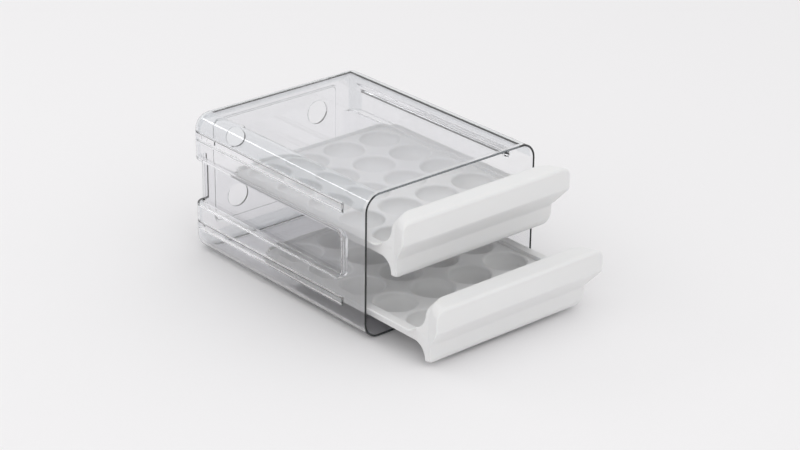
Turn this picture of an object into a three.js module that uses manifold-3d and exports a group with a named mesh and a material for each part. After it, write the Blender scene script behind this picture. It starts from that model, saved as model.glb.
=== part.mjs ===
// Two-tier drawer keeper for a refrigerator: a clear one-piece case, open at the front,
// and two white trays of round cups that slide in it, each with a tall front and a finger lip.
// Millimetres, +Z up, the drawers open towards -Y. The origin is the centre of the case's base.

import * as THREE from 'three';
import { mergeVertices } from 'three/addons/utils/BufferGeometryUtils.js';
import Module from 'manifold-3d';

const wasm = await Module();
wasm.setup();

// Cups
const cupPitch = 49;
const cupColumns = 4;
const cupRows = 5;
const cupRadius = 21.5;
const cupDepth = 16;
const cupWall = 1.8;
const cupSegments = 16;
const cupInnerRings = 4;
const cupOuterRings = 3;

// Case
const caseWidth = 223;
const caseDepth = 282;
const caseHeight = 153.5;
const caseWall = 2.2;
const edgeRadius = 18;
const rearRadius = 12;
const cornerSegments = 5;
const rearSegments = 3;

// Side recess, whose upper edge is the ledge that carries the upper drawer
const ledgeHeight = 102.8;
const recessBottom = 53.5;
const recessInset = 7.5;
const recessSetback = 38;
const recessCornerRadius = 8;

// Guide ribs inside the side walls: the lower pair carries the lower drawer
const lowerRibDepth = 8.4;
const upperRibBottom = 124.5;
const upperRibTop = 134.5;
const ribReach = 4.2;
const ribSetback = 34.5;
const ribNoseRadius = 3;

// Rear wall
const rearPanelHalfWidth = 81;
const rearPanelBottom = 22.5;
const rearPanelTop = 136.5;
const rearPanelCornerRadius = 5;
const rearPanelSink = 1.4;
const ventRadius = 13;
const ventSpacing = 109;
const ventHeights = [46, 113];
const ventSegments = 32;

// Drawer tray
const runningGap = 0.3;
const sideGap = 0.7;
const recessGap = 1;
const trayWall = 2;
const deckHeight = 9.2;
const flangeLift = 1.8;
const skirtCornerRadius = 10;
const firstRowSetback = 25.6;
const rearMargin = 3;
const flangeFrontMargin = 14;
const flangeEndMargin = 12;
const flangeCornerRadius = 5;
const upperGussetRadius = 20;
const lowerGussetRadius = 16;

// Drawer front: one skin, open at the back, whose upper part flares out into a finger lip
const frontWall = 2.4;
const frontHeight = 67.4;
const frontDrop = 18.7;
const frontGap = 0.5;
const tierGap = 4.2;
const faceMargin = 10.5;
const faceDepth = 9.5;
const faceDraft = 0.2;
const footRise = 9.7;
const footRadius = 6;
const lipMargin = 0.3;
const lipReach = 17.9;
const lipHeight = 24;
const lipSlope = 21;
const lipEdgeRadius = 3;
const lipHeelRadius = 1;
const flareSetback = 5;
const rimSetback = 4.9;
const rimDrop = 7.7;
const rimCornerRadius = 11;
const stripCornerRadius = 18;
const lipCornerRadius = 10;
const footShares = [0, 0.35, 0.8, 1];
const lipEdgeSegments = 2;
const frontCornerSegments = 4;

// How far each drawer stands open
const upperPull = 24.6;
const lowerPull = 75.2;

// One overrun that carries every cut past the face it opens
const overrun = 5;

const halfWidth = caseWidth / 2;
const halfDepth = caseDepth / 2;
const innerHalfWidth = halfWidth - caseWall;
const waistHalfWidth = halfWidth - recessInset;
const recessFront = -halfDepth + recessSetback;

const skirtHalfWidth = waistHalfWidth - caseWall - recessGap;
const flangeHalfWidth = innerHalfWidth - sideGap;
const flangeBottom = deckHeight + flangeLift;
const flangeTop = flangeBottom + trayWall;
const trayLength = firstRowSetback + cupPitch * (cupRows - 1) + cupRadius + rearMargin + trayWall;
const flangeEnd = trayLength - flangeEndMargin;
const frontBottom = -frontDrop;
const frontTop = frontHeight - frontDrop;
const lipBottom = frontTop - lipHeight;
const lipRoot = lipBottom - lipSlope;
const lipDepth = faceDepth + lipReach;
const faceHalfWidth = halfWidth - faceMargin;
const lipHalfWidth = halfWidth - lipMargin;
const flare = (lipHalfWidth - faceHalfWidth) / (lipDepth - flareSetback);
const slope = lipSlope / lipReach;
const undersideWall = frontWall * Math.hypot(1, slope);
const deckReach = lipDepth
  - (lipBottom + undersideWall / 2 - deckHeight + trayWall / 2) / slope;

// The trays share one shape, a tier apart: the upper rides on the ledges, the lower on the lower ribs
const tierPitch = frontHeight + tierGap;
const upperTrayHeight = ledgeHeight + caseWall + runningGap - flangeBottom;
const lowerTrayHeight = upperTrayHeight - tierPitch;
const lowerRibTop = lowerTrayHeight + flangeBottom - runningGap;
const lowerRibBottom = lowerRibTop - lowerRibDepth;

function toSolid(geometry) {
  const bare = geometry.clone();
  bare.deleteAttribute('normal');
  bare.deleteAttribute('uv');
  const merged = mergeVertices(bare);
  return new wasm.Manifold(new wasm.Mesh({
    numProp: 3,
    vertProperties: new Float32Array(merged.attributes.position.array),
    triVerts: new Uint32Array(merged.index.array),
  }));
}

function toGeometry(solid) {
  const mesh = solid.getMesh();
  const geometry = new THREE.BufferGeometry();
  geometry.setAttribute('position', new THREE.BufferAttribute(mesh.vertProperties, 3));
  geometry.setIndex(new THREE.BufferAttribute(mesh.triVerts, 1));
  geometry.computeVertexNormals();
  return geometry;
}

function joined(solids) {
  return solids.reduce((sum, solid) => sum.add(solid));
}

// A rectangle with one radius for its two lower corners and one for its two upper corners
function roundedRectangle(left, right, bottom, top, lowerRadius, upperRadius) {
  const shape = new THREE.Shape();
  shape.moveTo(left + lowerRadius, bottom);
  shape.lineTo(right - lowerRadius, bottom);
  if (lowerRadius > 0) {
    shape.absarc(right - lowerRadius, bottom + lowerRadius, lowerRadius, -Math.PI / 2, 0);
  }
  shape.lineTo(right, top - upperRadius);
  if (upperRadius > 0) {
    shape.absarc(right - upperRadius, top - upperRadius, upperRadius, 0, Math.PI / 2);
  }
  shape.lineTo(left + upperRadius, top);
  if (upperRadius > 0) {
    shape.absarc(left + upperRadius, top - upperRadius, upperRadius, Math.PI / 2, Math.PI);
  }
  shape.lineTo(left, bottom + lowerRadius);
  if (lowerRadius > 0) {
    shape.absarc(left + lowerRadius, bottom + lowerRadius, lowerRadius, Math.PI, Math.PI * 1.5);
  }
  return shape;
}

function extrude(shape, depth, bevel) {
  return new THREE.ExtrudeGeometry(shape, {
    depth,
    steps: 1,
    curveSegments: cornerSegments,
    bevelEnabled: false,
    ...bevel,
  });
}

// A shape drawn in X and Z, run along Y from front to back
function prismAlongY(shape, front, back, bevel) {
  const geometry = extrude(shape, back - front, bevel);
  geometry.rotateX(Math.PI / 2);
  geometry.translate(0, back, 0);
  return toSolid(geometry);
}

// A shape drawn in X and Y, run along Z from bottom to top
function prismAlongZ(shape, bottom, top) {
  const geometry = extrude(shape, top - bottom);
  geometry.translate(0, 0, bottom);
  return toSolid(geometry);
}

// A shape drawn in Y and Z, run along X from left to right
function prismAlongX(shape, left, right) {
  const geometry = extrude(shape, right - left);
  geometry.applyMatrix4(new THREE.Matrix4().makeBasis(
    new THREE.Vector3(0, 1, 0),
    new THREE.Vector3(0, 0, 1),
    new THREE.Vector3(1, 0, 0),
  ));
  geometry.translate(left, 0, 0);
  return toSolid(geometry);
}

// A solid and its mirror image across the object's middle plane
function pair(solid) {
  return solid.add(solid.mirror([1, 0, 0]));
}

// A block with round long edges and round rear edges, cut square at the front
function roundBackedBlock(blockHalfWidth, bottom, top, longRadius, backRadius, front, back) {
  const core = roundedRectangle(
    -blockHalfWidth + backRadius,
    blockHalfWidth - backRadius,
    bottom + backRadius,
    top - backRadius,
    longRadius - backRadius,
    longRadius - backRadius,
  );
  const block = prismAlongY(core, front - backRadius, back - backRadius, {
    bevelEnabled: true,
    bevelThickness: backRadius,
    bevelSize: backRadius,
    bevelSegments: rearSegments,
  });
  const reach = blockHalfWidth + overrun;
  const keep = roundedRectangle(-reach, reach, bottom - overrun, top + overrun, 0, 0);
  return block.intersect(prismAlongY(keep, front, back + overrun));
}

// The band that is set in on both sides, grown all round by a wall's thickness or not at all
function recessBand(growth) {
  const reach = halfWidth + overrun;
  const outline = roundedRectangle(
    recessFront - growth,
    halfDepth + overrun + recessCornerRadius,
    recessBottom - growth,
    ledgeHeight + growth,
    recessCornerRadius,
    recessCornerRadius,
  );
  return prismAlongX(outline, -reach, reach);
}

// A pair of ribs on the side walls with round noses, from behind the rim to the rear wall
function guideRibs(bottom, top) {
  const outline = new THREE.Shape();
  const nose = innerHalfWidth - ribReach;
  const root = innerHalfWidth + caseWall / 2;
  outline.moveTo(root, bottom);
  outline.lineTo(root, top);
  outline.lineTo(nose + ribNoseRadius, top);
  outline.absarc(nose + ribNoseRadius, top - ribNoseRadius, ribNoseRadius, Math.PI / 2, Math.PI);
  outline.lineTo(nose, bottom + ribNoseRadius);
  outline.absarc(
    nose + ribNoseRadius, bottom + ribNoseRadius, ribNoseRadius, Math.PI, Math.PI * 1.5,
  );
  return pair(prismAlongY(outline, -halfDepth + ribSetback, halfDepth - caseWall / 2));
}

function rearPanelBlock(growth, front, back) {
  const outline = roundedRectangle(
    -rearPanelHalfWidth - growth,
    rearPanelHalfWidth + growth,
    rearPanelBottom - growth,
    rearPanelTop + growth,
    rearPanelCornerRadius + growth,
    rearPanelCornerRadius + growth,
  );
  return prismAlongY(outline, front, back);
}

function ventBore(x, height) {
  const bore = new THREE.CylinderGeometry(ventRadius, ventRadius, 2 * rearRadius, ventSegments);
  bore.translate(x, halfDepth, height);
  return toSolid(bore);
}

function buildCase() {
  const front = -halfDepth - overrun;
  const innerTop = caseHeight - caseWall;
  const innerBack = halfDepth - caseWall;
  const innerEdge = edgeRadius - caseWall;
  const innerRear = rearRadius - caseWall;
  const waistInner = waistHalfWidth - caseWall;

  const skin = roundBackedBlock(
    halfWidth, 0, caseHeight, edgeRadius, rearRadius, -halfDepth, halfDepth,
  );
  const waist = roundBackedBlock(
    waistHalfWidth, 0, caseHeight, edgeRadius, rearRadius, -halfDepth, halfDepth,
  );
  const cavity = roundBackedBlock(
    innerHalfWidth, caseWall, innerTop, innerEdge, innerRear, front, innerBack,
  );
  const cavityWaist = roundBackedBlock(
    waistInner, caseWall, innerTop, innerEdge, innerRear, front, innerBack,
  );
  const outside = skin.subtract(recessBand(0).subtract(waist));
  const inside = cavity.subtract(recessBand(caseWall).subtract(cavityWaist));
  const panelBacking = rearPanelBlock(
    caseWall, innerBack - rearPanelSink, halfDepth - caseWall / 2,
  );
  const panelSink = rearPanelBlock(0, halfDepth - rearPanelSink, halfDepth + overrun);

  let shell = joined([
    outside.subtract(inside),
    panelBacking,
    guideRibs(upperRibBottom, upperRibTop).intersect(outside),
    guideRibs(lowerRibBottom, lowerRibTop).intersect(outside),
  ]).subtract(panelSink);
  for (const height of ventHeights) {
    for (const x of [-ventSpacing / 2, ventSpacing / 2]) {
      shell = shell.subtract(ventBore(x, height));
    }
  }
  return shell;
}

// An elliptical bowl that hangs from its rim at height zero, with a plug standing above the rim
function bowl(radius, depth, plug, rings) {
  const profile = [];
  for (let ring = 0; ring <= rings; ring += 1) {
    const angle = (ring / rings) * Math.PI / 2;
    profile.push(new THREE.Vector2(radius * Math.sin(angle), -depth * Math.cos(angle)));
  }
  if (plug > 0) {
    profile.push(new THREE.Vector2(radius, plug));
  }
  profile.push(new THREE.Vector2(0, plug));
  const geometry = new THREE.LatheGeometry(profile, cupSegments);
  geometry.rotateX(Math.PI / 2);
  return toSolid(geometry);
}

function cupCentres() {
  const centres = [];
  for (let row = 0; row < cupRows; row += 1) {
    for (let column = 0; column < cupColumns; column += 1) {
      centres.push([
        (column - (cupColumns - 1) / 2) * cupPitch,
        firstRowSetback + row * cupPitch,
      ]);
    }
  }
  return centres;
}

function trayOutline(inset) {
  return roundedRectangle(
    -skirtHalfWidth + inset,
    skirtHalfWidth - inset,
    inset > 0 ? -overrun : -frontWall / 2,
    trayLength - inset,
    0,
    skirtCornerRadius - inset,
  );
}

// The tray without its front: a skirt, a deck of cups that reaches forward under the lip as
// an apron, and a flange along each side
function buildTray() {
  const skirt = prismAlongZ(trayOutline(0), 0, flangeTop);
  const below = prismAlongZ(trayOutline(trayWall), -overrun, deckHeight - trayWall);
  const above = prismAlongZ(trayOutline(trayWall), deckHeight, flangeTop + overrun);
  const apronOutline = new THREE.Shape();
  apronOutline.moveTo(-skirtHalfWidth + trayWall / 2, trayWall);
  apronOutline.lineTo(-faceHalfWidth + frontWall / 2, -flareSetback);
  apronOutline.lineTo(-sideAt(deckReach) + frontWall / 2, -deckReach);
  apronOutline.lineTo(sideAt(deckReach) - frontWall / 2, -deckReach);
  apronOutline.lineTo(faceHalfWidth - frontWall / 2, -flareSetback);
  apronOutline.lineTo(skirtHalfWidth - trayWall / 2, trayWall);
  const apron = prismAlongZ(apronOutline, deckHeight - trayWall, deckHeight);
  const flangeOutline = new THREE.Shape();
  flangeOutline.moveTo(skirtHalfWidth - trayWall / 2, flangeFrontMargin);
  flangeOutline.lineTo(flangeHalfWidth - flangeCornerRadius, flangeFrontMargin);
  flangeOutline.absarc(
    flangeHalfWidth - flangeCornerRadius, flangeFrontMargin + flangeCornerRadius,
    flangeCornerRadius, -Math.PI / 2, 0,
  );
  flangeOutline.lineTo(flangeHalfWidth, flangeEnd - flangeCornerRadius);
  flangeOutline.absarc(
    flangeHalfWidth - flangeCornerRadius, flangeEnd - flangeCornerRadius, flangeCornerRadius,
    0, Math.PI / 2,
  );
  flangeOutline.lineTo(skirtHalfWidth - trayWall / 2, flangeEnd);
  const flanges = pair(prismAlongZ(flangeOutline, flangeBottom, flangeTop));
  const rimHeight = deckHeight - trayWall / 2;
  const outerDepth = cupDepth + cupWall - trayWall / 2;
  const outerBowl = bowl(cupRadius + cupWall, outerDepth, 0, cupOuterRings);
  const innerBowl = bowl(cupRadius, cupDepth, overrun, cupInnerRings);
  const centres = cupCentres();
  const outers = centres.map(([x, y]) => outerBowl.translate([x, y, rimHeight]));
  const inners = centres.map(([x, y]) => innerBowl.translate([x, y, deckHeight]));
  const deck = joined([skirt.subtract(below).subtract(above), ...outers]);
  return deck.subtract(joined(inners)).add(flanges).add(apron);
}

// The webs that sweep from the tray's sides up to the front's rim and down to its foot
function frontGussets() {
  const root = -rimSetback;
  const upper = new THREE.Shape();
  upper.moveTo(root, flangeBottom);
  upper.lineTo(upperGussetRadius, flangeBottom);
  upper.lineTo(upperGussetRadius, flangeTop);
  upper.absarc(
    upperGussetRadius, flangeTop + upperGussetRadius, upperGussetRadius,
    Math.PI * 1.5, Math.PI, true,
  );
  upper.lineTo(root, flangeTop + upperGussetRadius);
  const lower = new THREE.Shape();
  lower.moveTo(root, deckHeight);
  lower.lineTo(root, -lowerGussetRadius);
  lower.lineTo(0, -lowerGussetRadius);
  lower.absarc(
    lowerGussetRadius, -lowerGussetRadius, lowerGussetRadius, Math.PI, Math.PI / 2, true,
  );
  lower.lineTo(lowerGussetRadius, deckHeight);
  const inner = skirtHalfWidth - trayWall;
  return pair(prismAlongX(upper, inner, skirtHalfWidth)
    .add(prismAlongX(lower, inner, skirtHalfWidth)));
}

// One upright cut through the front, as a ring of points: a rectangle with round corners
function frontRing(depth, side, bottom, top, lowerRadius, upperRadius) {
  const corners = [
    [side - lowerRadius, bottom + lowerRadius, lowerRadius],
    [side - upperRadius, top - upperRadius, upperRadius],
    [-side + upperRadius, top - upperRadius, upperRadius],
    [-side + lowerRadius, bottom + lowerRadius, lowerRadius],
  ];
  return corners.flatMap(([x, z, radius], corner) => {
    const points = [];
    for (let step = 0; step <= frontCornerSegments; step += 1) {
      const angle = (corner - 1 + step / frontCornerSegments) * Math.PI / 2;
      points.push([x + radius * Math.cos(angle), -depth, z + radius * Math.sin(angle)]);
    }
    return points;
  });
}

// A closed body through a row of rings that stand one in front of the other
function loft(rings) {
  const count = rings[0].length;
  const last = (rings.length - 1) * count;
  const triangles = [];
  for (let row = 0; row < last; row += count) {
    for (let here = 0; here < count; here += 1) {
      const next = (here + 1) % count;
      triangles.push(row + here, row + next, row + count + here);
      triangles.push(row + next, row + count + next, row + count + here);
    }
  }
  for (let here = 1; here < count - 1; here += 1) {
    triangles.push(0, here + 1, here);
    triangles.push(last, last + here, last + here + 1);
  }
  const geometry = new THREE.BufferGeometry();
  geometry.setAttribute('position', new THREE.Float32BufferAttribute(rings.flat(2), 3));
  geometry.setIndex(triangles);
  return toSolid(geometry);
}

// The sides stand straight near the tray and flare out towards the lip
function sideAt(depth) {
  return faceHalfWidth + flare * Math.max(0, depth - flareSetback);
}

// The top is level from the strip's rear edge forwards and drops behind it to the rim
function topAt(depth) {
  return frontTop - rimDrop * Math.max(0, 1 - depth / rimSetback);
}

function topRadiusAt(depth) {
  if (depth < rimSetback) {
    return rimCornerRadius + (stripCornerRadius - rimCornerRadius) * depth / rimSetback;
  }
  const share = Math.min(1, (depth - rimSetback) / (faceDepth - rimSetback));
  return stripCornerRadius + (lipCornerRadius - stripCornerRadius) * share;
}

function lipUndersideAt(depth) {
  return lipBottom - (lipDepth - depth) * slope;
}

function footRiseAt(share, rise) {
  return rise * (1 - Math.sqrt(1 - share ** 2));
}

// The outside of the front: rim, curved foot, upright face, and the lip that flares out above
function frontOutside() {
  const ring = (depth, bottom, lowerRadius, inset) => frontRing(
    depth, sideAt(depth) - inset, bottom, topAt(depth) - inset,
    lowerRadius, topRadiusAt(depth) - inset,
  );
  const rings = [ring(0, frontBottom, footRadius, 0)];
  for (const share of footShares) {
    const depth = frontWall + share * (faceDepth - frontWall);
    rings.push(ring(depth, frontBottom + footRiseAt(share, footRise), footRadius, 0));
  }
  rings.push(ring(faceDepth + faceDraft, lipRoot, lipHeelRadius, 0));
  for (let step = 0; step <= lipEdgeSegments; step += 1) {
    const angle = (step / lipEdgeSegments) * Math.PI / 2;
    const depth = lipDepth - lipEdgeRadius * (1 - Math.sin(angle));
    const inset = lipEdgeRadius * (1 - Math.cos(angle));
    rings.push(ring(depth, lipUndersideAt(depth), lipHeelRadius, inset));
  }
  return loft(rings);
}

// The hollow behind the skin of the front, open towards the tray
function frontHollow() {
  const sideWall = frontWall * Math.hypot(1, flare);
  const rimWall = frontWall * Math.hypot(1, rimDrop / rimSetback);
  const rimStart = frontTop - rimDrop - rimWall;
  const ring = (depth, bottom, lowerRadius) => frontRing(
    depth, sideAt(depth) - sideWall, bottom,
    Math.min(frontTop - frontWall, rimStart + Math.max(0, depth) * rimDrop / rimSetback),
    lowerRadius, topRadiusAt(Math.max(0, depth)) - frontWall,
  );
  const hollowBottom = frontBottom + frontWall;
  const innerFoot = footRadius - frontWall;
  const rings = [
    ring(-overrun, hollowBottom, innerFoot),
    ring(0, hollowBottom, innerFoot),
  ];
  for (const share of footShares) {
    const depth = frontWall + share * (faceDepth - 2 * frontWall);
    rings.push(ring(depth, hollowBottom + footRiseAt(share, footRise - frontWall), innerFoot));
  }
  for (const depth of [faceDepth - frontWall + faceDraft, lipDepth - frontWall]) {
    rings.push(ring(depth, lipUndersideAt(depth) + undersideWall, lipHeelRadius));
  }
  return loft(rings);
}

function buildFront() {
  return frontOutside().subtract(frontHollow());
}

const clearPlastic = new THREE.MeshStandardMaterial({
  name: 'clear_polystyrene',
  color: '#dfe3e6',
  roughness: 0.08,
  metalness: 0,
  transparent: true,
  opacity: 0.3,
});
const whitePlastic = new THREE.MeshStandardMaterial({
  name: 'white_polypropylene',
  color: '#f4f4f3',
  roughness: 0.35,
  metalness: 0,
});

function namedMesh(name, geometry, material) {
  const mesh = new THREE.Mesh(geometry, material);
  mesh.name = name;
  return mesh;
}

const keeper = new THREE.Group();
keeper.add(namedMesh('case', toGeometry(buildCase()), clearPlastic));

const drawerGeometry = toGeometry(joined([buildTray(), frontGussets(), buildFront()]));
const drawers = [
  ['upper_drawer', upperTrayHeight, upperPull],
  ['lower_drawer', lowerTrayHeight, lowerPull],
];
for (const [name, height, pull] of drawers) {
  const drawer = namedMesh(name, drawerGeometry, whitePlastic.clone());
  drawer.position.set(0, -halfDepth - frontGap - pull, height);
  keeper.add(drawer);
}

export default keeper;
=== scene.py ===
# Looks of a two-tier drawer keeper for a refrigerator: a clear one-piece case and two white
# drawers of round cups. Sizes are in millimetres, and each mesh is scaled to metres once.

import math

import bmesh
import bpy
from mathutils import Matrix, Vector
from mathutils.geometry import delaunay_2d_cdt


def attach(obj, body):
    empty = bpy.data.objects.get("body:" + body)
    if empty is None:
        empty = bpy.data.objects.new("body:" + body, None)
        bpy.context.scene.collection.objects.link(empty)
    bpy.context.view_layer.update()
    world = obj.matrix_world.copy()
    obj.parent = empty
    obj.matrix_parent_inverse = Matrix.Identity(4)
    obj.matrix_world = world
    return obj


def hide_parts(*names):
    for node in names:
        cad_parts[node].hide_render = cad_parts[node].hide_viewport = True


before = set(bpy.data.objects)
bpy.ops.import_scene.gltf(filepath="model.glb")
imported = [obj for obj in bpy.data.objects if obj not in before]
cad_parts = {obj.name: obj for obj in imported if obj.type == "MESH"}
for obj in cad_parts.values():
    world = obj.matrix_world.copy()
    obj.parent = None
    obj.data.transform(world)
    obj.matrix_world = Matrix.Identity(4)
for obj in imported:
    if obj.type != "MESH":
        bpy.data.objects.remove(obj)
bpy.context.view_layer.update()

metres = 0.001
quarter_turn = math.pi / 2

# Case. Its rim zone runs from the open front to where the flat walls start to look thin
case_width = 223
case_depth = 282
case_height = 153.5
case_wall = 2.2
edge_radius = 18
rear_radius = 12
rim_radius = 1
rim_zone = 5
edge_steps = 12
rear_steps = 8
rim_steps = 3

# Side recess, whose upper edge is the ledge that carries the upper drawer
ledge_height = 102.8
recess_bottom = 53.5
recess_inset = 7.5
recess_setback = 38
recess_corner_radius = 8
recess_fillet = 1.2
recess_corner_steps = 6
fillet_steps = 3

# Guide ribs inside the side walls
lower_rib_bottom = 25
lower_rib_top = 33.4
upper_rib_bottom = 124.5
upper_rib_top = 134.5
rib_reach = 4.2
rib_setback = 34.5
rib_nose_radius = 3
rib_root_fillet = 0.8
rib_run_in = 5
rib_run_in_steps = 6

# Rear wall
panel_half_width = 81
panel_bottom = 22.5
panel_top = 136.5
panel_corner_radius = 5
panel_sink = 1.4
panel_fillet = 0.5
panel_corner_steps = 6
vent_radius = 13
vent_spacing = 109
vent_heights = (46, 113)
vent_steps = 64

# Cups and deck
cup_pitch = 49
cup_columns = 4
cup_rows = 5
cup_radius = 21.5
cup_depth = 16
cup_wall = 1.8
cup_rim_fillet = 2.5
cup_root_fillet = 0.7
cup_divisions = 48
cup_ring_steps = 9
cup_rim_steps = 5
first_row_setback = 25.6
deck_height = 9.2
tray_wall = 2

# Skirt and flange round the tray
skirt_half_width = 100.8
skirt_corner_radius = 10
skirt_corner_steps = 8
skirt_top = 13
skirt_edge_radius = 0.6
tray_length = 248.1
flange_thickness = 2
flange_reach = 7.8
flange_front_margin = 14
flange_end_margin = 12
flange_corner_radius = 5
flange_corner_steps = 6
flange_edge_radius = 0.9
flange_root_fillet = 0.6

# Webs that sweep from the tray's sides to the front
upper_gusset_radius = 20
lower_gusset_radius = 16
gusset_steps = 18
gusset_edge_radius = 0.8
gusset_edge_steps = 3
gusset_edge_profile = 0.5

# Drawer front
front_wall = 2.4
front_top = 48.7
front_bottom = -18.7
face_half_width = 101
face_depth = 9.5
face_draft = 0.2
foot_rise = 9.7
foot_radius = 6
foot_steps = 8
lip_half_width = 111.2
lip_depth = 27.4
lip_bottom = 24.7
lip_root = 3.7
lip_edge_radius = 3
lip_edge_steps = 6
lip_heel_radius = 1.6
lip_root_run = 1.8
lip_root_steps = 4
flare_setback = 5
flare_blend = 1.5
rim_setback = 4.9
rim_drop = 7.7
rim_blend = 0.7
front_rim_radius = 0.8
rim_corner_radius = 11
strip_corner_radius = 18
lip_corner_radius = 10
front_corner_steps = 10

# How deep a part reaches into its neighbour where the two are joined
seat = 1

# Points nearer than these are welded to one, in the case and in the deck's grid of cells, and a
# point nearer than the last lies on the grid's edge
weld_distance = 0.001
grid_weld_distance = 0.025
grid_edge_distance = 0.25

# Edges sharper than this stay creased
crease_degrees = 50

# The two drawers' places: the rim's rear edge and the skirt's bottom
upper_place = (0, -166.1, 94.3)
lower_place = (0, -216.7, 22.7)

# Camera, as the photograph was taken
camera_place = (-1371.6, -1633.55, 1014.94)
camera_azimuth = -41.13
camera_elevation = 24.49
camera_roll = 0.75
camera_lens = 101.46
camera_sensor = 36

case_half_width = case_width / 2
case_front = -case_depth / 2
case_back = case_depth / 2
recess_front = case_front + recess_setback
rib_front = case_front + rib_setback
flare = (lip_half_width - face_half_width) / (lip_depth - flare_setback)
lip_slope = (lip_bottom - lip_root) / (lip_depth - face_depth)
underside_wall = front_wall * math.hypot(1, lip_slope)
rim_slope = rim_drop / rim_setback
rim_wall = front_wall * math.hypot(1, rim_slope)

# How far the deck runs on into the front, to the middle of its sloping underside
deck_reach = lip_depth - (lip_bottom + underside_wall / 2 - deck_height + tray_wall / 2) / lip_slope


# Angles of a quarter turn, both ends included
def quarter(steps):
    return [quarter_turn * step / steps for step in range(steps + 1)]


# A ramp that starts to rise softly, within a width either side of zero
def soft_ramp(run, width):
    if run <= -width:
        return 0
    if run >= width:
        return run
    return (run + width) ** 2 / (4 * width)


# Joins two closed rows of points that are there already
def bridge(mesh, row, following):
    for here in range(len(row)):
        after = (here + 1) % len(row)
        mesh.faces.new((row[here], row[after], following[after], following[here]))


# Skins a row of closed loops that have the same number of points
def skin(mesh, loops):
    rows = [[mesh.verts.new(point) for point in loop] for loop in loops]
    for row, following in zip(rows, rows[1:]):
        bridge(mesh, row, following)
    return rows


def make_object(mesh, name):
    bmesh.ops.recalc_face_normals(mesh, faces=mesh.faces)
    bmesh.ops.scale(mesh, vec=(metres, metres, metres), verts=mesh.verts)
    for face in mesh.faces:
        face.smooth = True
    data = bpy.data.meshes.new(name)
    mesh.to_mesh(data)
    mesh.free()
    made = bpy.data.objects.new(name, data)
    bpy.context.scene.collection.objects.link(made)
    return made


# Keeps flat faces flat and lets the small roundings carry the highlights
def shade(piece):
    piece.data.set_sharp_from_angle(angle=math.radians(crease_degrees))
    modifier = piece.modifiers.new("even_normals", "WEIGHTED_NORMAL")
    modifier.keep_sharp = True


# Case: the points over one rounded step in a side wall, as height and inset
def step_rows(height, direction, depth, first_radius, second_radius):
    rows = []
    for angle in quarter(fillet_steps):
        rows.append((
            height - direction * first_radius * (1 - math.sin(angle)),
            first_radius * (1 - math.cos(angle)),
        ))
    for angle in quarter(fillet_steps):
        rows.append((
            height + direction * second_radius * (1 - math.cos(angle)),
            depth - second_radius * (1 - math.sin(angle)),
        ))
    return rows


# The two steps of a recess or a rib, from its lower edge to its upper one
def raised_rows(bottom, top, depth, first_radius, second_radius):
    lower = step_rows(bottom, 1, depth, first_radius, second_radius)
    upper = step_rows(top, -1, depth, first_radius, second_radius)
    return lower + upper[::-1]


# The share of a guide rib's reach at a place along the case, which rises softly over the run-in
def rib_share_at(y):
    run = (y - rib_front) / rib_run_in
    if run <= 0:
        return 0
    if run >= 1:
        return 1
    return run ** 2 * (3 - 2 * run)


# How far the recess's round front corners still close it in at a place along the case
def corner_lift_at(y, growth):
    radius = recess_corner_radius + growth
    run = min(max(y - (recess_front - growth), 0), radius)
    return radius - math.sqrt(radius ** 2 - (radius - run) ** 2)


# One cut through the case: growth is 0 for its outside and the wall's thickness for its inside
def case_loop(growth, y, shrink, band_inset):
    half_width = case_half_width - growth - shrink
    radius = edge_radius - growth - shrink
    bottom = growth + shrink
    top = case_height - growth - shrink
    rib_share = rib_share_at(y) if growth else 0
    band_share = band_inset / recess_inset
    lift = corner_lift_at(y, growth)

    def ribs(rib_bottom, rib_top):
        rows = raised_rows(rib_bottom, rib_top, rib_reach, rib_root_fillet, rib_nose_radius)
        return [(height, max(0, inset * rib_share - max(0, shrink))) for height, inset in rows]

    band = raised_rows(
        recess_bottom - growth + lift, ledge_height + growth - lift,
        recess_inset, recess_fillet, recess_fillet,
    )
    rows = ribs(lower_rib_bottom, lower_rib_top)
    rows += [(height, inset * band_share) for height, inset in band]
    rows += ribs(upper_rib_bottom, upper_rib_top)
    centre = half_width - radius
    side = []
    for angle in quarter(edge_steps):
        side.append((centre + radius * math.sin(angle), bottom + radius * (1 - math.cos(angle))))
    for height, inset in rows:
        side.append((half_width - inset, height))
    for angle in quarter(edge_steps):
        side.append((centre + radius * math.cos(angle), top - radius * (1 - math.sin(angle))))
    loop = side + [(-x, height) for x, height in reversed(side)]
    return [(x, y, height) for x, height in loop]


# The cuts from the open front to the rear wall: the rim, the recess's step, the ribs' run-in and
# the rear rounding
def case_loops(growth):
    outward = -1 if growth else 1
    start = recess_front - growth
    back = case_back - growth
    rounding = rear_radius - growth
    loops = []
    for angle in reversed(quarter(rim_steps)):
        y = case_front + rim_radius * (1 - math.sin(angle))
        loops.append(case_loop(growth, y, outward * rim_radius * (1 - math.cos(angle)), 0))
    stops = [(case_front + rim_zone, 0)]
    for angle in quarter(fillet_steps):
        y = start - recess_fillet * (1 - math.sin(angle))
        stops.append((y, recess_fillet * (1 - math.cos(angle))))
    for angle in quarter(fillet_steps):
        y = start + recess_fillet * (1 - math.cos(angle))
        stops.append((y, recess_inset - recess_fillet * (1 - math.sin(angle))))
    corner = recess_corner_radius + growth
    for angle in quarter(recess_corner_steps):
        y = start + corner * (1 - math.cos(angle))
        if y > start + recess_fillet:
            stops.append((y, recess_inset))
    if growth:
        for angle in quarter(rib_run_in_steps):
            y = rib_front + rib_run_in * angle / quarter_turn
            if y < start - recess_fillet:
                stops.append((y, 0))
            if y > start + recess_fillet:
                stops.append((y, recess_inset))
    for y, inset in sorted(stops):
        loops.append(case_loop(growth, y, 0, inset))
    for angle in quarter(rear_steps):
        y = back - rounding * (1 - math.sin(angle))
        loops.append(case_loop(growth, y, rounding * (1 - math.cos(angle)), recess_inset))
    return loops


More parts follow.
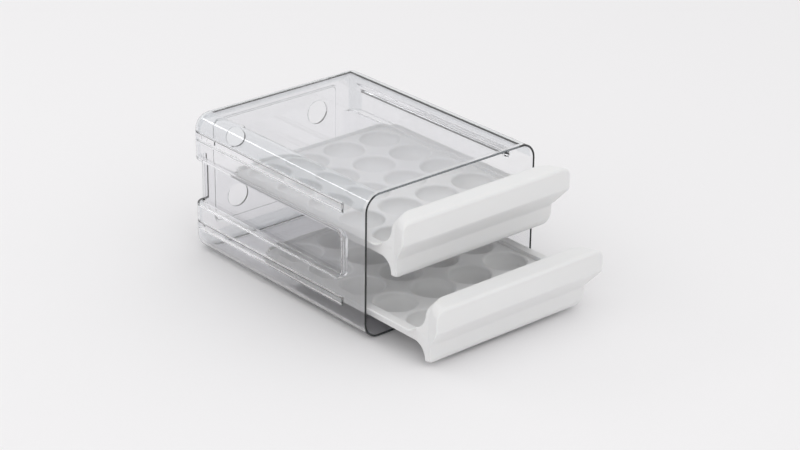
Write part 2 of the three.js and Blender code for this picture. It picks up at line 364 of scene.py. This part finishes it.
# Each corner comes with the quarter turns to its first point
def round_rectangle(half_width, bottom, top, radius, y):
    corners = (
        (half_width - radius, bottom + radius, 3),
        (half_width - radius, top - radius, 0),
        (-half_width + radius, top - radius, 1),
        (-half_width + radius, bottom + radius, 2),
    )
    points = []
    for x, height, turn in corners:
        for angle in quarter(panel_corner_steps):
            around = angle + turn * quarter_turn
            points.append((x + radius * math.cos(around), y, height + radius * math.sin(around)))
    return points


# Whether a flat point lies inside a flat outline
def is_inside(point, outline):
    inside = False
    for here, corner in enumerate(outline):
        other = outline[here - 1]
        if (corner.y > point.y) != (other.y > point.y):
            reach = (other.x - corner.x) * (point.y - corner.y) / (other.y - corner.y)
            if point.x < corner.x + reach:
                inside = not inside
    return inside


# Fills the flat upright area between an outline and the holes in it. The triangulation gives all
# the triangles, and those in a hole or outside are left out here
all_triangles = 0
fill_tolerance = 1e-6


def fill(mesh, outline, holes):
    rows = [outline, *holes]
    corners = [corner for row in rows for corner in row]
    flat = [[Vector((corner.co.x, corner.co.z)) for corner in row] for row in rows]
    edges = []
    for row in rows:
        start = corners.index(row[0])
        edges += [(start + here, start + (here + 1) % len(row)) for here in range(len(row))]
    points = [point for row in flat for point in row]
    places, _, triangles, origins = delaunay_2d_cdt(
        points, edges, [], all_triangles, fill_tolerance,
    )[:4]
    for triangle in triangles:
        middle = sum((places[corner] for corner in triangle), Vector((0, 0))) / len(triangle)
        if not is_inside(middle, flat[0]):
            continue
        if any(is_inside(middle, hole) for hole in flat[1:]):
            continue
        mesh.faces.new([corners[origins[corner][0]] for corner in triangle])


# The rear wall: a sunk panel outside, its backing inside, and the round vents through both
def build_rear(mesh, outer_edge, inner_edge):
    def panel(growth, y):
        return round_rectangle(
            panel_half_width + growth, panel_bottom - growth, panel_top + growth,
            panel_corner_radius + growth, y,
        )

    def panel_steps(growth, y):
        loops = []
        for angle in quarter(fillet_steps):
            spread = panel_fillet * (1 - math.sin(angle))
            loops.append(panel(growth + spread, y - panel_fillet * (1 - math.cos(angle))))
        for angle in quarter(fillet_steps):
            spread = panel_fillet * (1 - math.cos(angle))
            sink = panel_sink - panel_fillet * (1 - math.sin(angle))
            loops.append(panel(growth - spread, y - sink))
        return loops

    outer = skin(mesh, panel_steps(0, case_back))
    inner = skin(mesh, panel_steps(case_wall, case_back - case_wall))
    outer_floor = case_back - panel_sink
    inner_floor = outer_floor - case_wall
    outer_vents = []
    inner_vents = []
    for height in vent_heights:
        for side in (-1, 1):
            loops = []
            profile = []
            for angle in quarter(fillet_steps):
                spread = panel_fillet * (1 - math.sin(angle))
                profile.append((spread, outer_floor - panel_fillet * (1 - math.cos(angle))))
            for angle in quarter(fillet_steps):
                spread = panel_fillet * (1 - math.cos(angle))
                profile.append((spread, inner_floor + panel_fillet * (1 - math.sin(angle))))
            for spread, y in profile:
                radius = vent_radius + spread
                loop = []
                for step in range(vent_steps):
                    around = 2 * math.pi * step / vent_steps
                    x = side * vent_spacing / 2 + radius * math.cos(around)
                    loop.append((x, y, height + radius * math.sin(around)))
                loops.append(loop)
            rows = skin(mesh, loops)
            outer_vents.append(rows[0])
            inner_vents.append(rows[-1])
    fill(mesh, outer_edge, [outer[0]])
    fill(mesh, outer[-1], outer_vents)
    fill(mesh, inner[-1], inner_vents)
    fill(mesh, inner_edge, [inner[0]])


def build_case():
    mesh = bmesh.new()
    outer = skin(mesh, case_loops(0))
    inner = skin(mesh, case_loops(case_wall))
    bridge(mesh, outer[0], inner[0])
    build_rear(mesh, outer[-1], inner[-1])
    bmesh.ops.remove_doubles(mesh, verts=mesh.verts, dist=weld_distance)
    return make_object(mesh, "case_shell")


# Deck: a cup's cut from its middle to its rim, as height over the deck at each radius
def cup_profile(radius, depth, fillet, rise):
    waist = rise - fillet
    profile = []
    for angle in quarter(cup_ring_steps)[1:]:
        profile.append((radius * math.sin(angle), waist - (depth + waist) * math.cos(angle)))
    for angle in quarter(cup_rim_steps)[1:]:
        profile.append((radius + fillet * (1 - math.cos(angle)), waist + fillet * math.sin(angle)))
    return profile


# One face of a square cell: the cup in its middle, and the flat out to its four sides
def add_cell(mesh, x, y, profile, bottom, level):
    def at(radius, height, around):
        return mesh.verts.new((
            x + radius * math.cos(around), y + radius * math.sin(around), height + deck_height,
        ))

    angles = [2 * math.pi * step / cup_divisions for step in range(cup_divisions)]
    middle = at(0, bottom, 0)
    rows = [[at(radius, height, around) for around in angles] for radius, height in profile]
    edge = []
    for around in angles:
        reach = cup_pitch / 2 / max(abs(math.cos(around)), abs(math.sin(around)))
        edge.append(at(reach, level, around))
    rows.append(edge)
    for here in range(cup_divisions):
        mesh.faces.new((middle, rows[0][here], rows[0][(here + 1) % cup_divisions]))
    for row, following in zip(rows, rows[1:]):
        bridge(mesh, row, following)


# Stretches the grid's sides and rear to the skirt, and gives the points of its front edge from
# left to right, for the deck's upper and its lower face
def stretch_grid(mesh):
    grid_half_width = cup_columns * cup_pitch / 2
    grid_front = first_row_setback - cup_pitch / 2
    grid_back = grid_front + cup_rows * cup_pitch
    fronts = {}
    for corner in mesh.verts:
        if abs(corner.co.z - deck_height) > tray_wall + grid_edge_distance:
            continue
        if abs(corner.co.y - grid_front) < grid_edge_distance:
            fronts.setdefault(round(corner.co.z), []).append(corner)
        if abs(abs(corner.co.x) - grid_half_width) < grid_edge_distance:
            corner.co.x = math.copysign(skirt_half_width - seat, corner.co.x)
        if abs(corner.co.y - grid_back) < grid_edge_distance:
            corner.co.y = tray_length - seat
    for row in fronts.values():
        row.sort(key=lambda corner: corner.co.x)
    return fronts.values()


# Runs a front edge of the deck on into the front, out to the middle of its side walls
def extend_edge(mesh, row):
    for depth in (flare_setback, deck_reach):
        reach = side_at(depth) - front_wall / 2
        following = []
        for corner in row:
            x = corner.co.x * reach / row[-1].co.x
            following.append(mesh.verts.new((x, -depth, corner.co.z)))
        for here in range(len(row) - 1):
            mesh.faces.new((row[here], row[here + 1], following[here + 1], following[here]))
        row = following


def build_deck():
    mesh = bmesh.new()
    top = cup_profile(cup_radius, cup_depth, cup_rim_fillet, 0)
    under = cup_profile(
        cup_radius + cup_wall, cup_depth + cup_wall, cup_root_fillet, -tray_wall,
    )
    for row in range(cup_rows):
        for column in range(cup_columns):
            x = (column - (cup_columns - 1) / 2) * cup_pitch
            y = first_row_setback + row * cup_pitch
            add_cell(mesh, x, y, top, -cup_depth, 0)
            add_cell(mesh, x, y, under, -cup_depth - cup_wall, -tray_wall)
    bmesh.ops.remove_doubles(mesh, verts=mesh.verts, dist=grid_weld_distance)
    for row in stretch_grid(mesh):
        extend_edge(mesh, row)
    open_edges = [edge for edge in mesh.edges if len(edge.link_faces) == 1]
    bmesh.ops.bridge_loops(mesh, edges=open_edges)
    return make_object(mesh, "deck")


# Skirt and flange: where each point of the cut lies without the flange and with all of it
def rim_profile():
    edge = skirt_edge_radius
    rows = []
    for angle in quarter(fillet_steps):
        point = (-edge * (1 - math.cos(angle)), edge * (1 - math.sin(angle)))
        rows.append((point, point))
    for angle in quarter(fillet_steps):
        point = (-tray_wall + edge * (1 - math.sin(angle)), edge * (1 - math.cos(angle)))
        rows.append((point, point))
    for angle in quarter(fillet_steps):
        point = (
            -tray_wall + edge * (1 - math.cos(angle)),
            skirt_top - edge * (1 - math.sin(angle)),
        )
        rows.append((point, point))
    middle = skirt_top - flange_thickness / 2
    for angle in quarter(fillet_steps):
        plain = (-edge * (1 - math.sin(angle)), skirt_top - edge * (1 - math.cos(angle)))
        full = (
            flange_reach - flange_edge_radius * (1 - math.sin(angle)),
            middle + flange_thickness / 2 * math.cos(angle),
        )
        rows.append((plain, full))
    for angle in quarter(fillet_steps)[1:]:
        drop = (middle - edge - skirt_top + flange_thickness) * math.sin(angle)
        plain = (0, skirt_top - edge - drop)
        full = (
            flange_reach - flange_edge_radius * (1 - math.cos(angle)),
            middle - flange_thickness / 2 * math.sin(angle),
        )
        rows.append((plain, full))
    root = skirt_top - flange_thickness
    for angle in quarter(fillet_steps):
        spread = flange_root_fillet * (1 - math.sin(angle))
        height = root - flange_root_fillet * (1 - math.cos(angle))
        rows.append(((0, height), (spread, height)))
    return rows


# The share of the flange's reach at the places along a side where it changes
def flange_stops():
    radius = flange_corner_radius
    stops = []
    for end, direction in (
        (flange_front_margin, 1), (tray_length - flange_end_margin, -1),
    ):
        rows = [(end - direction * flange_root_fillet, 0)]
        for angle in quarter(flange_corner_steps):
            reach = flange_reach - radius * (1 - math.sin(angle))
            rows.append((end + direction * radius * (1 - math.cos(angle)), reach / flange_reach))
        stops += rows if direction == 1 else rows[::-1]
    return stops


# The cut goes round the tray from one side of the front to the other, and turns at the corners
def build_skirt():
    profile = rim_profile()
    corner = skirt_corner_radius
    stations = [(skirt_half_width, -front_wall / 2, 1, 0, 0)]
    for y, share in flange_stops():
        stations.append((skirt_half_width, y, 1, 0, share))
    for angle in quarter(skirt_corner_steps):
        stations.append((
            skirt_half_width - corner * (1 - math.cos(angle)),
            tray_length - corner * (1 - math.sin(angle)),
            math.cos(angle), math.sin(angle), 0,
        ))
    mirrored = [(-x, y, -across, along, share) for x, y, across, along, share in reversed(stations)]
    loops = []
    for x, y, across, along, share in stations + mirrored:
        loop = []
        for plain, full in profile:
            out = plain[0] + share * (full[0] - plain[0])
            height = plain[1] + share * (full[1] - plain[1])
            loop.append((x + across * out, y + along * out, height))
        loops.append(loop)
    mesh = bmesh.new()
    rows = skin(mesh, loops)
    mesh.faces.new(rows[0])
    mesh.faces.new(rows[-1])
    return make_object(mesh, "skirt")


# A web in the tray's side wall: a plate whose curved edge is rounded
def build_web(name, side, points, curve_points):
    inner = skirt_half_width - tray_wall
    mesh = bmesh.new()
    near = [mesh.verts.new((side * inner, y, height)) for y, height in points]
    far = [mesh.verts.new((side * skirt_half_width, y, height)) for y, height in points]
    bridge(mesh, near, far)
    mesh.faces.new(near)
    mesh.faces.new(far)
    edges = []
    for row in (near, far):
        for here in range(curve_points - 1):
            edges.append(mesh.edges.get((row[here], row[here + 1])))
    bmesh.ops.recalc_face_normals(mesh, faces=mesh.faces)
    bmesh.ops.bevel(
        mesh, geom=edges, offset=gusset_edge_radius, offset_type="OFFSET",
        segments=gusset_edge_steps, profile=gusset_edge_profile, affect="EDGES",
    )
    return make_object(mesh, name)


# Each side has a web above the skirt, which sweeps up, and one below it, which sweeps down
def build_webs():
    root = -rim_setback
    upper = []
    for angle in quarter(gusset_steps):
        upper.append((
            upper_gusset_radius * (1 - math.cos(angle)),
            skirt_top + upper_gusset_radius * (1 - math.sin(angle)),
        ))
    upper += [
        (upper_gusset_radius, skirt_top - tray_wall),
        (root, skirt_top - tray_wall),
        (root, skirt_top + upper_gusset_radius),
    ]
    lower = []
    for angle in quarter(gusset_steps):
        lower.append((
            lower_gusset_radius * (1 - math.cos(angle)),
            -lower_gusset_radius * (1 - math.sin(angle)),
        ))
    lower += [
        (lower_gusset_radius, deck_height),
        (root, deck_height),
        (root, -lower_gusset_radius),
    ]
    webs = []
    for side in (-1, 1):
        webs.append(build_web("upper_web", side, upper, gusset_steps + 1))
        webs.append(build_web("lower_web", side, lower, gusset_steps + 1))
    return webs


# Front: half-width, top and upper corner radius at a depth in front of the rim's rear edge
def side_at(depth):
    return face_half_width + flare * soft_ramp(depth - flare_setback, flare_blend)


def top_at(depth):
    return front_top - rim_slope * soft_ramp(rim_setback - depth, rim_blend)


def top_radius_at(depth):
    if depth < rim_setback:
        return rim_corner_radius + (strip_corner_radius - rim_corner_radius) * depth / rim_setback
    share = min(1, (depth - rim_setback) / (face_depth - rim_setback))
    return strip_corner_radius + (lip_corner_radius - strip_corner_radius) * share


def underside_at(depth):
    return lip_bottom - (lip_depth - depth) * lip_slope


# One cut across the front; each corner comes with the quarter turns to its first point
def front_loop(depth, side, bottom, top, lower_radius, upper_radius):
    corners = (
        (side - lower_radius, bottom + lower_radius, lower_radius, 3),
        (side - upper_radius, top - upper_radius, upper_radius, 0),
        (-side + upper_radius, top - upper_radius, upper_radius, 1),
        (-side + lower_radius, bottom + lower_radius, lower_radius, 2),
    )
    points = []
    for x, height, radius, turn in corners:
        for angle in quarter(front_corner_steps):
            around = angle + turn * quarter_turn
            points.append((
                x + radius * math.cos(around), -depth, height + radius * math.sin(around),
            ))
    return points


# Outside of the front: its rear rim, its rounded foot, the lip's root and the lip's round edge
def front_outer_loops():
    def loop(depth, bottom, lower_radius, inset):
        return front_loop(
            depth, side_at(depth) - inset, bottom + inset, top_at(depth) - inset,
            lower_radius, top_radius_at(depth) - inset,
        )

    loops = []
    for angle in reversed(quarter(rim_steps)):
        inset = front_rim_radius * (1 - math.cos(angle))
        depth = front_rim_radius * (1 - math.sin(angle))
        loops.append(loop(depth, front_bottom, foot_radius - inset, inset))
    for angle in quarter(foot_steps):
        depth = front_wall + (face_depth - front_wall) * math.sin(angle)
        bottom = front_bottom + foot_rise * (1 - math.cos(angle))
        loops.append(loop(depth, bottom, foot_radius, 0))
    root = face_depth + face_draft
    for step in range(lip_root_steps + 1):
        share = step / lip_root_steps
        depth = root + lip_root_run * share ** 2
        bottom = lip_root - lip_root_run * (1 - share) ** 2 + lip_slope * lip_root_run * share ** 2
        radius = foot_radius + (lip_heel_radius - foot_radius) * share
        loops.append(loop(depth, bottom, radius, 0))
    for angle in quarter(lip_edge_steps):
        inset = lip_edge_radius * (1 - math.cos(angle))
        depth = lip_depth - lip_edge_radius * (1 - math.sin(angle))
        heel = lip_heel_radius / lip_edge_radius * inset
        loops.append(loop(depth, underside_at(depth) + heel - inset, lip_heel_radius, inset))
    return loops


# Inside of the hollow front, one wall's thickness in
def front_inner_loops():
    side_wall = front_wall * math.hypot(1, flare)
    rim_start = front_top - rim_drop - rim_wall
    floor = front_bottom + front_wall
    inner_foot = foot_radius - front_wall

    def loop(depth, bottom, lower_radius, outset):
        top = min(front_top - front_wall, rim_start + depth * rim_slope)
        return front_loop(
            depth, side_at(depth) - side_wall + outset, bottom - outset, top + outset,
            lower_radius + outset, top_radius_at(depth) - front_wall + outset,
        )

    loops = []
    for angle in reversed(quarter(rim_steps)):
        outset = front_rim_radius * (1 - math.cos(angle))
        depth = front_rim_radius * (1 - math.sin(angle))
        loops.append(loop(depth, floor, inner_foot, outset))
    for angle in quarter(foot_steps):
        depth = front_wall + (face_depth - 2 * front_wall) * math.sin(angle)
        bottom = floor + (foot_rise - front_wall) * (1 - math.cos(angle))
        loops.append(loop(depth, bottom, inner_foot, 0))
    for depth in (face_depth - front_wall + face_draft, lip_depth - front_wall):
        loops.append(loop(depth, underside_at(depth) + underside_wall, lip_heel_radius, 0))
    return loops


def build_front():
    mesh = bmesh.new()
    rows = skin(mesh, front_inner_loops()[::-1] + front_outer_loops())
    mesh.faces.new(rows[0])
    mesh.faces.new(rows[-1])
    return make_object(mesh, "front")


# One moulding: everything joined into a single closed body
def build_tray():
    tray = build_front()
    others = [build_deck(), build_skirt(), *build_webs()]
    for other in others:
        modifier = tray.modifiers.new("join", "BOOLEAN")
        modifier.operation = "UNION"
        modifier.solver = "MANIFOLD"
        modifier.object = other
    bpy.context.view_layer.update()
    graph = bpy.context.evaluated_depsgraph_get()
    joined = bpy.data.meshes.new_from_object(tray.evaluated_get(graph))
    for piece in [tray, *others]:
        bpy.data.objects.remove(piece)
    return joined


def place_tray(joined, name, place):
    data = joined.copy()
    data.transform(Matrix.Translation(Vector(place) * metres))
    piece = bpy.data.objects.new(name, data)
    bpy.context.scene.collection.objects.link(piece)
    return piece


# An sRGB hex colour as the linear values that the shaders take, by the numbers of the standard
def linear(code):
    channels = [int(code[start:start + 2], 16) / 255 for start in (1, 3, 5)]
    values = [c / 12.92 if c <= 0.04045 else ((c + 0.055) / 1.055) ** 2.4 for c in channels]
    return (*values, 1)


# Adds one node, with its settings, its socket values and its links
def add_node(tree, kind, settings=None, values=None, links=None):
    node = tree.nodes.new(kind)
    for name, value in (settings or {}).items():
        setattr(node, name, value)
    for name, value in (values or {}).items():
        node.inputs[name].default_value = value
    for name, source in (links or {}).items():
        tree.links.new(source, node.inputs[name])
    return node


# Sockets that share their names with others on the same node, and so go by number
mix_share = 0
mix_first = 6
mix_second = 7
mix_result = 2
blend_share = 0
blend_first = 1
blend_second = 2
power_base = 0
power_exponent = 1


# How many repeats of a pattern of this size fit in a metre
def per_metre(size):
    return 1 / (size * metres)


def new_material(name):
    material = bpy.data.materials.new(name)
    material.use_nodes = True
    material.node_tree.nodes.clear()
    return material


# White polypropylene, injection moulded: a satin skin over a body that glows a little, with
# faint clouds where the melt flowed and the fine grain of an eroded mould
white_pale = "#e9e9e9"
white_deep = "#e5e5e5"
white_ior = 1.49
white_glow_weight = 0.3
white_glow_depth = 2.5
white_glow_shares = (1, 0.95, 0.9)
least_satin = 0.36
most_satin = 0.46
cloud_size = 55
cloud_height = 0.05
cloud_detail = 3
cloud_roughness = 0.55
cloud_strength = 0.5
grain_size = 1.1
grain_height = 0.012
grain_detail = 2
grain_roughness = 0.6
grain_strength = 0.6


def white_polypropylene():
    material = new_material("white_polypropylene")
    tree = material.node_tree
    place = add_node(tree, "ShaderNodeTexCoord").outputs["Object"]
    clouds = add_node(
        tree, "ShaderNodeTexNoise",
        values={
            "Scale": per_metre(cloud_size),
            "Detail": cloud_detail,
            "Roughness": cloud_roughness,
        },
        links={"Vector": place},
    )
    # The real grain is near 0.2 mm: drawn coarser so that it shows
    grain = add_node(
        tree, "ShaderNodeTexNoise",
        values={
            "Scale": per_metre(grain_size),
            "Detail": grain_detail,
            "Roughness": grain_roughness,
        },
        links={"Vector": place},
    )
    colour = add_node(
        tree, "ShaderNodeMix", settings={"data_type": "RGBA"},
        values={mix_first: linear(white_deep), mix_second: linear(white_pale)},
        links={mix_share: clouds.outputs["Fac"]},
    )
    satin = add_node(
        tree, "ShaderNodeMapRange",
        values={"To Min": least_satin, "To Max": most_satin},
        links={"Value": grain.outputs["Fac"]},
    )
    broad = add_node(
        tree, "ShaderNodeBump",
        values={"Strength": cloud_strength, "Distance": cloud_height * metres},
        links={"Height": clouds.outputs["Fac"]},
    )
    fine = add_node(
        tree, "ShaderNodeBump",
        values={"Strength": grain_strength, "Distance": grain_height * metres},
        links={"Height": grain.outputs["Fac"], "Normal": broad.outputs["Normal"]},
    )
    shader = add_node(
        tree, "ShaderNodeBsdfPrincipled",
        values={
            "IOR": white_ior,
            "Subsurface Weight": white_glow_weight,
            "Subsurface Scale": white_glow_depth * metres,
            "Subsurface Radius": white_glow_shares,
        },
        links={
            "Base Color": colour.outputs[mix_result],
            "Roughness": satin.outputs["Result"],
            "Normal": fine.outputs["Normal"],
        },
    )
    add_node(tree, "ShaderNodeOutputMaterial", links={"Surface": shader.outputs["BSDF"]})
    return material


# Clear polystyrene, injection moulded: glassy, nearly colourless, with the slow ripple of a
# polished mould and a breath of haze. Its flat walls are thin, so they are looked straight
# through; its rounded edges, ribs and rim bend the light. All take a painted grey shade where they
# are seen aslant, which draws the case's outline
ripple_size = 38
ripple_height = 0.06
ripple_detail = 1.5
ripple_roughness = 0.4
ripple_strength = 0.6
haze_size = 6
haze_detail = 3
haze_roughness = 0.6
clear_face = "#fdfdfe"
# Grey painted shade that the clear faces take where they are seen aslant
painted_edge_shade = "#a8adb1"
# Dark painted shade on the cut rim round the open front, which draws it as a dark line
painted_rim_shade = "#3c4145"
# Faint grey painted shade on the long roundings at the top and rear, and on the panel's and vents'
# edges
painted_rounding_shade = "#eff1f3"
edge_shade_start = 0.76
slant_blend = 0.5
clear_ior = 1.59
smooth_gloss = 0.01
hazy_gloss = 0.045
gloss_fall_power = 3
least_gloss_share = 0.04
most_gloss_share = 0.6


def clear_polystyrene(name, face_colour, is_flat):
    material = new_material(name)
    tree = material.node_tree
    place = add_node(tree, "ShaderNodeTexCoord").outputs["Object"]
    ripple = add_node(
        tree, "ShaderNodeTexNoise",
        values={
            "Scale": per_metre(ripple_size),
            "Detail": ripple_detail,
            "Roughness": ripple_roughness,
        },
        links={"Vector": place},
    )
    haze = add_node(
        tree, "ShaderNodeTexNoise",
        values={
            "Scale": per_metre(haze_size),
            "Detail": haze_detail,
            "Roughness": haze_roughness,
        },
        links={"Vector": place},
    )
    bump = add_node(
        tree, "ShaderNodeBump",
        values={"Strength": ripple_strength, "Distance": ripple_height * metres},
        links={"Height": ripple.outputs["Fac"]},
    )
    weight = add_node(tree, "ShaderNodeLayerWeight", values={"Blend": slant_blend})
    slant = weight.outputs["Facing"]
    # The share of the painted grey edge shade, which rises where a face is seen aslant
    along = add_node(
        tree, "ShaderNodeMapRange", settings={"interpolation_type": "SMOOTHSTEP"},
        values={"From Min": edge_shade_start, "From Max": 1},
        links={"Value": slant},
    )
    colour = add_node(
        tree, "ShaderNodeMix", settings={"data_type": "RGBA"},
        values={mix_first: linear(face_colour), mix_second: linear(painted_edge_shade)},
        links={mix_share: along.outputs["Result"]},
    )
    roughness = add_node(
        tree, "ShaderNodeMapRange",
        values={"To Min": smooth_gloss, "To Max": hazy_gloss},
        links={"Value": haze.outputs["Fac"]},
    )
    if not is_flat:
        bent = add_node(
            tree, "ShaderNodeBsdfPrincipled",
            values={"IOR": clear_ior, "Transmission Weight": 1},
            links={
                "Base Color": colour.outputs[mix_result],
                "Roughness": roughness.outputs["Result"],
                "Normal": bump.outputs["Normal"],
            },
        )
        add_node(tree, "ShaderNodeOutputMaterial", links={"Surface": bent.outputs["BSDF"]})
        return material
    straight = add_node(
        tree, "ShaderNodeBsdfTransparent",
        links={"Color": colour.outputs[mix_result]},
    )
    gloss = add_node(
        tree, "ShaderNodeBsdfGlossy",
        links={
            "Roughness": roughness.outputs["Result"],
            "Normal": bump.outputs["Normal"],
        },
    )
    fall = add_node(
        tree, "ShaderNodeMath", settings={"operation": "POWER"},
        values={power_exponent: gloss_fall_power},
        links={power_base: slant},
    )
    gloss_share = add_node(
        tree, "ShaderNodeMapRange",
        values={"To Min": least_gloss_share, "To Max": most_gloss_share},
        links={"Value": fall.outputs["Value"]},
    )
    surface = add_node(
        tree, "ShaderNodeMixShader",
        links={
            blend_share: gloss_share.outputs["Result"],
            blend_first: straight.outputs["BSDF"],
            blend_second: gloss.outputs["BSDF"],
        },
    )
    add_node(tree, "ShaderNodeOutputMaterial", links={"Surface": surface.outputs["Shader"]})
    return material


# Which of the case's materials each face takes. The walls' one goes on the flat faces of its top,
# bottom and recessed sides, on the ribs' noses, and on what turns at the rear between the
# recess's heights. The roundings' one goes on the long roundings of its top and on the rest of
# what turns at the rear, the panel's edges and the vents among it. The rim's one goes round the
# open front, and the bent one on all the rest. A face is flat when its normal is nearly along an
# axis
bent_slot = 0
wall_slot = 1
rim_slot = 2
rounding_slot = 3
flat_cosine = 0.9995


def sort_case_faces(shell):
    side_reach = case_half_width - case_wall - rib_reach / 2
    for face in shell.data.polygons:
        x, y, z = face.center / metres
        is_beside = abs(x) > case_half_width - edge_radius
        is_level = abs(face.normal.z) > flat_cosine and not is_beside
        is_side = abs(face.normal.x) > flat_cosine and abs(x) < side_reach
        is_turning = y > case_back - rear_radius and abs(face.normal.y) < flat_cosine
        if is_turning or (is_beside and z > case_height - edge_radius):
            face.material_index = rounding_slot
        if is_level or is_side or (is_turning and recess_bottom < z < ledge_height):
            face.material_index = wall_slot
        if y < case_front + rim_zone:
            face.material_index = bent_slot
        if y < case_front + rim_radius:
            face.material_index = rim_slot


# Floor: matt paper sweep with a faint fibre, drawn coarser than the real one so that it shows
fibre_size = 2.5
fibre_detail = 2
paper_pale = "#f2f1f2"
paper_deep = "#f0eff0"


def studio_paper():
    material = new_material("studio_paper")
    tree = material.node_tree
    place = add_node(tree, "ShaderNodeTexCoord").outputs["Object"]
    fibre = add_node(
        tree, "ShaderNodeTexNoise",
        values={"Scale": per_metre(fibre_size), "Detail": fibre_detail},
        links={"Vector": place},
    )
    colour = add_node(
        tree, "ShaderNodeMix", settings={"data_type": "RGBA"},
        values={mix_first: linear(paper_deep), mix_second: linear(paper_pale)},
        links={mix_share: fibre.outputs["Fac"]},
    )
    shader = add_node(
        tree, "ShaderNodeBsdfDiffuse",
        links={"Color": colour.outputs[mix_result]},
    )
    add_node(tree, "ShaderNodeOutputMaterial", links={"Surface": shader.outputs["BSDF"]})
    return material


floor_half_size = 6000
floor_gap = 0.2


def build_floor():
    mesh = bmesh.new()
    corners = [(-1, -1), (1, -1), (1, 1), (-1, 1)]
    mesh.faces.new([
        mesh.verts.new((x * floor_half_size, y * floor_half_size, -floor_gap)) for x, y in corners
    ])
    floor = make_object(mesh, "floor")
    floor.data.materials.append(studio_paper())
    return floor


# Sky of the studio: brightest overhead, a little dimmer towards the walls
sky_colour = "#ffffff"
sky_low_share = 0.86
sky_rise_share = 0.08


def light_world():
    world = bpy.data.worlds.new("studio")
    bpy.context.scene.world = world
    world.use_nodes = True
    tree = world.node_tree
    tree.nodes.clear()
    place = add_node(tree, "ShaderNodeTexCoord").outputs["Generated"]
    split = add_node(tree, "ShaderNodeSeparateXYZ", links={"Vector": place})
    level = add_node(
        tree, "ShaderNodeMapRange",
        values={"To Min": sky_low_share, "To Max": sky_low_share + sky_rise_share},
        links={"Value": split.outputs["Z"]},
    )
    sky = add_node(
        tree, "ShaderNodeBackground",
        values={"Color": linear(sky_colour)},
        links={"Strength": level.outputs["Result"]},
    )
    add_node(tree, "ShaderNodeOutputWorld", links={"Surface": sky.outputs["Background"]})


# A large softbox overhead and a little to the left, a dimmer one low in front, and a narrow one
# behind on the left, which draws the bright streak along the case's rounded upper edge
key_place = (-500, -300, 1900)
key_size = 1500
key_power = 3.5
fill_place = (-300, -1900, 550)
fill_size = 1200
fill_power = 1
streak_place = (-780, 1300, 1140)
streak_length = 900
streak_width = 120
streak_power = 1.3


def add_softbox(name, place, length, width, power):
    lamp = bpy.data.lights.new(name, "AREA")
    lamp.shape = "RECTANGLE"
    lamp.size = length * metres
    lamp.size_y = width * metres
    lamp.energy = power
    softbox = bpy.data.objects.new(name, lamp)
    softbox.location = Vector(place) * metres
    softbox.rotation_mode = "QUATERNION"
    softbox.rotation_quaternion = softbox.location.to_track_quat("Z", "Y")
    bpy.context.scene.collection.objects.link(softbox)


# The camera stands at its place, turned by its azimuth, elevation and roll
def place_camera():
    azimuth = math.radians(camera_azimuth)
    elevation = math.radians(camera_elevation)
    roll = math.radians(camera_roll)
    back = Vector((
        math.sin(azimuth) * math.cos(elevation),
        -math.cos(azimuth) * math.cos(elevation),
        math.sin(elevation),
    ))
    right = Vector((0, 0, 1)).cross(back).normalized()
    up = back.cross(right)
    across = math.cos(roll) * right + math.sin(roll) * up
    upright = math.cos(roll) * up - math.sin(roll) * right
    turn = Matrix((across, upright, back)).transposed()
    lens = bpy.data.cameras.new("camera")
    lens.lens = camera_lens
    lens.sensor_width = camera_sensor
    lens.clip_end = 2 * floor_half_size * metres
    camera = bpy.data.objects.new("camera", lens)
    camera.matrix_world = Matrix.Translation(Vector(camera_place) * metres) @ turn.to_4x4()
    bpy.context.scene.collection.objects.link(camera)
    bpy.context.scene.camera = camera


place_camera()
light_world()
add_softbox("key_softbox", key_place, key_size, key_size, key_power)
add_softbox("fill_softbox", fill_place, fill_size, fill_size, fill_power)
add_softbox("streak_softbox", streak_place, streak_length, streak_width, streak_power)
build_floor()

# The case's materials come in the order of their slots
case_shell = build_case()
for name, face_colour, is_flat in (
    ("clear_polystyrene", clear_face, False),
    ("clear_polystyrene_walls", clear_face, True),
    ("clear_polystyrene_rim_painted_shade", painted_rim_shade, False),
    ("clear_polystyrene_roundings_painted_shade", painted_rounding_shade, False),
):
    case_shell.data.materials.append(clear_polystyrene(name, face_colour, is_flat))
sort_case_faces(case_shell)
shade(case_shell)
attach(case_shell, "case")
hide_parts("case")

white = white_polypropylene()
tray_mesh = build_tray()
for name, node, place in (
    ("upper_tray", "upper_drawer", upper_place),
    ("lower_tray", "lower_drawer", lower_place),
):
    tray = place_tray(tray_mesh, name, place)
    tray.data.materials.clear()
    tray.data.materials.append(white)
    shade(tray)
    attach(tray, node)
    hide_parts(node)

bpy.context.scene.view_settings.view_transform = "Standard"
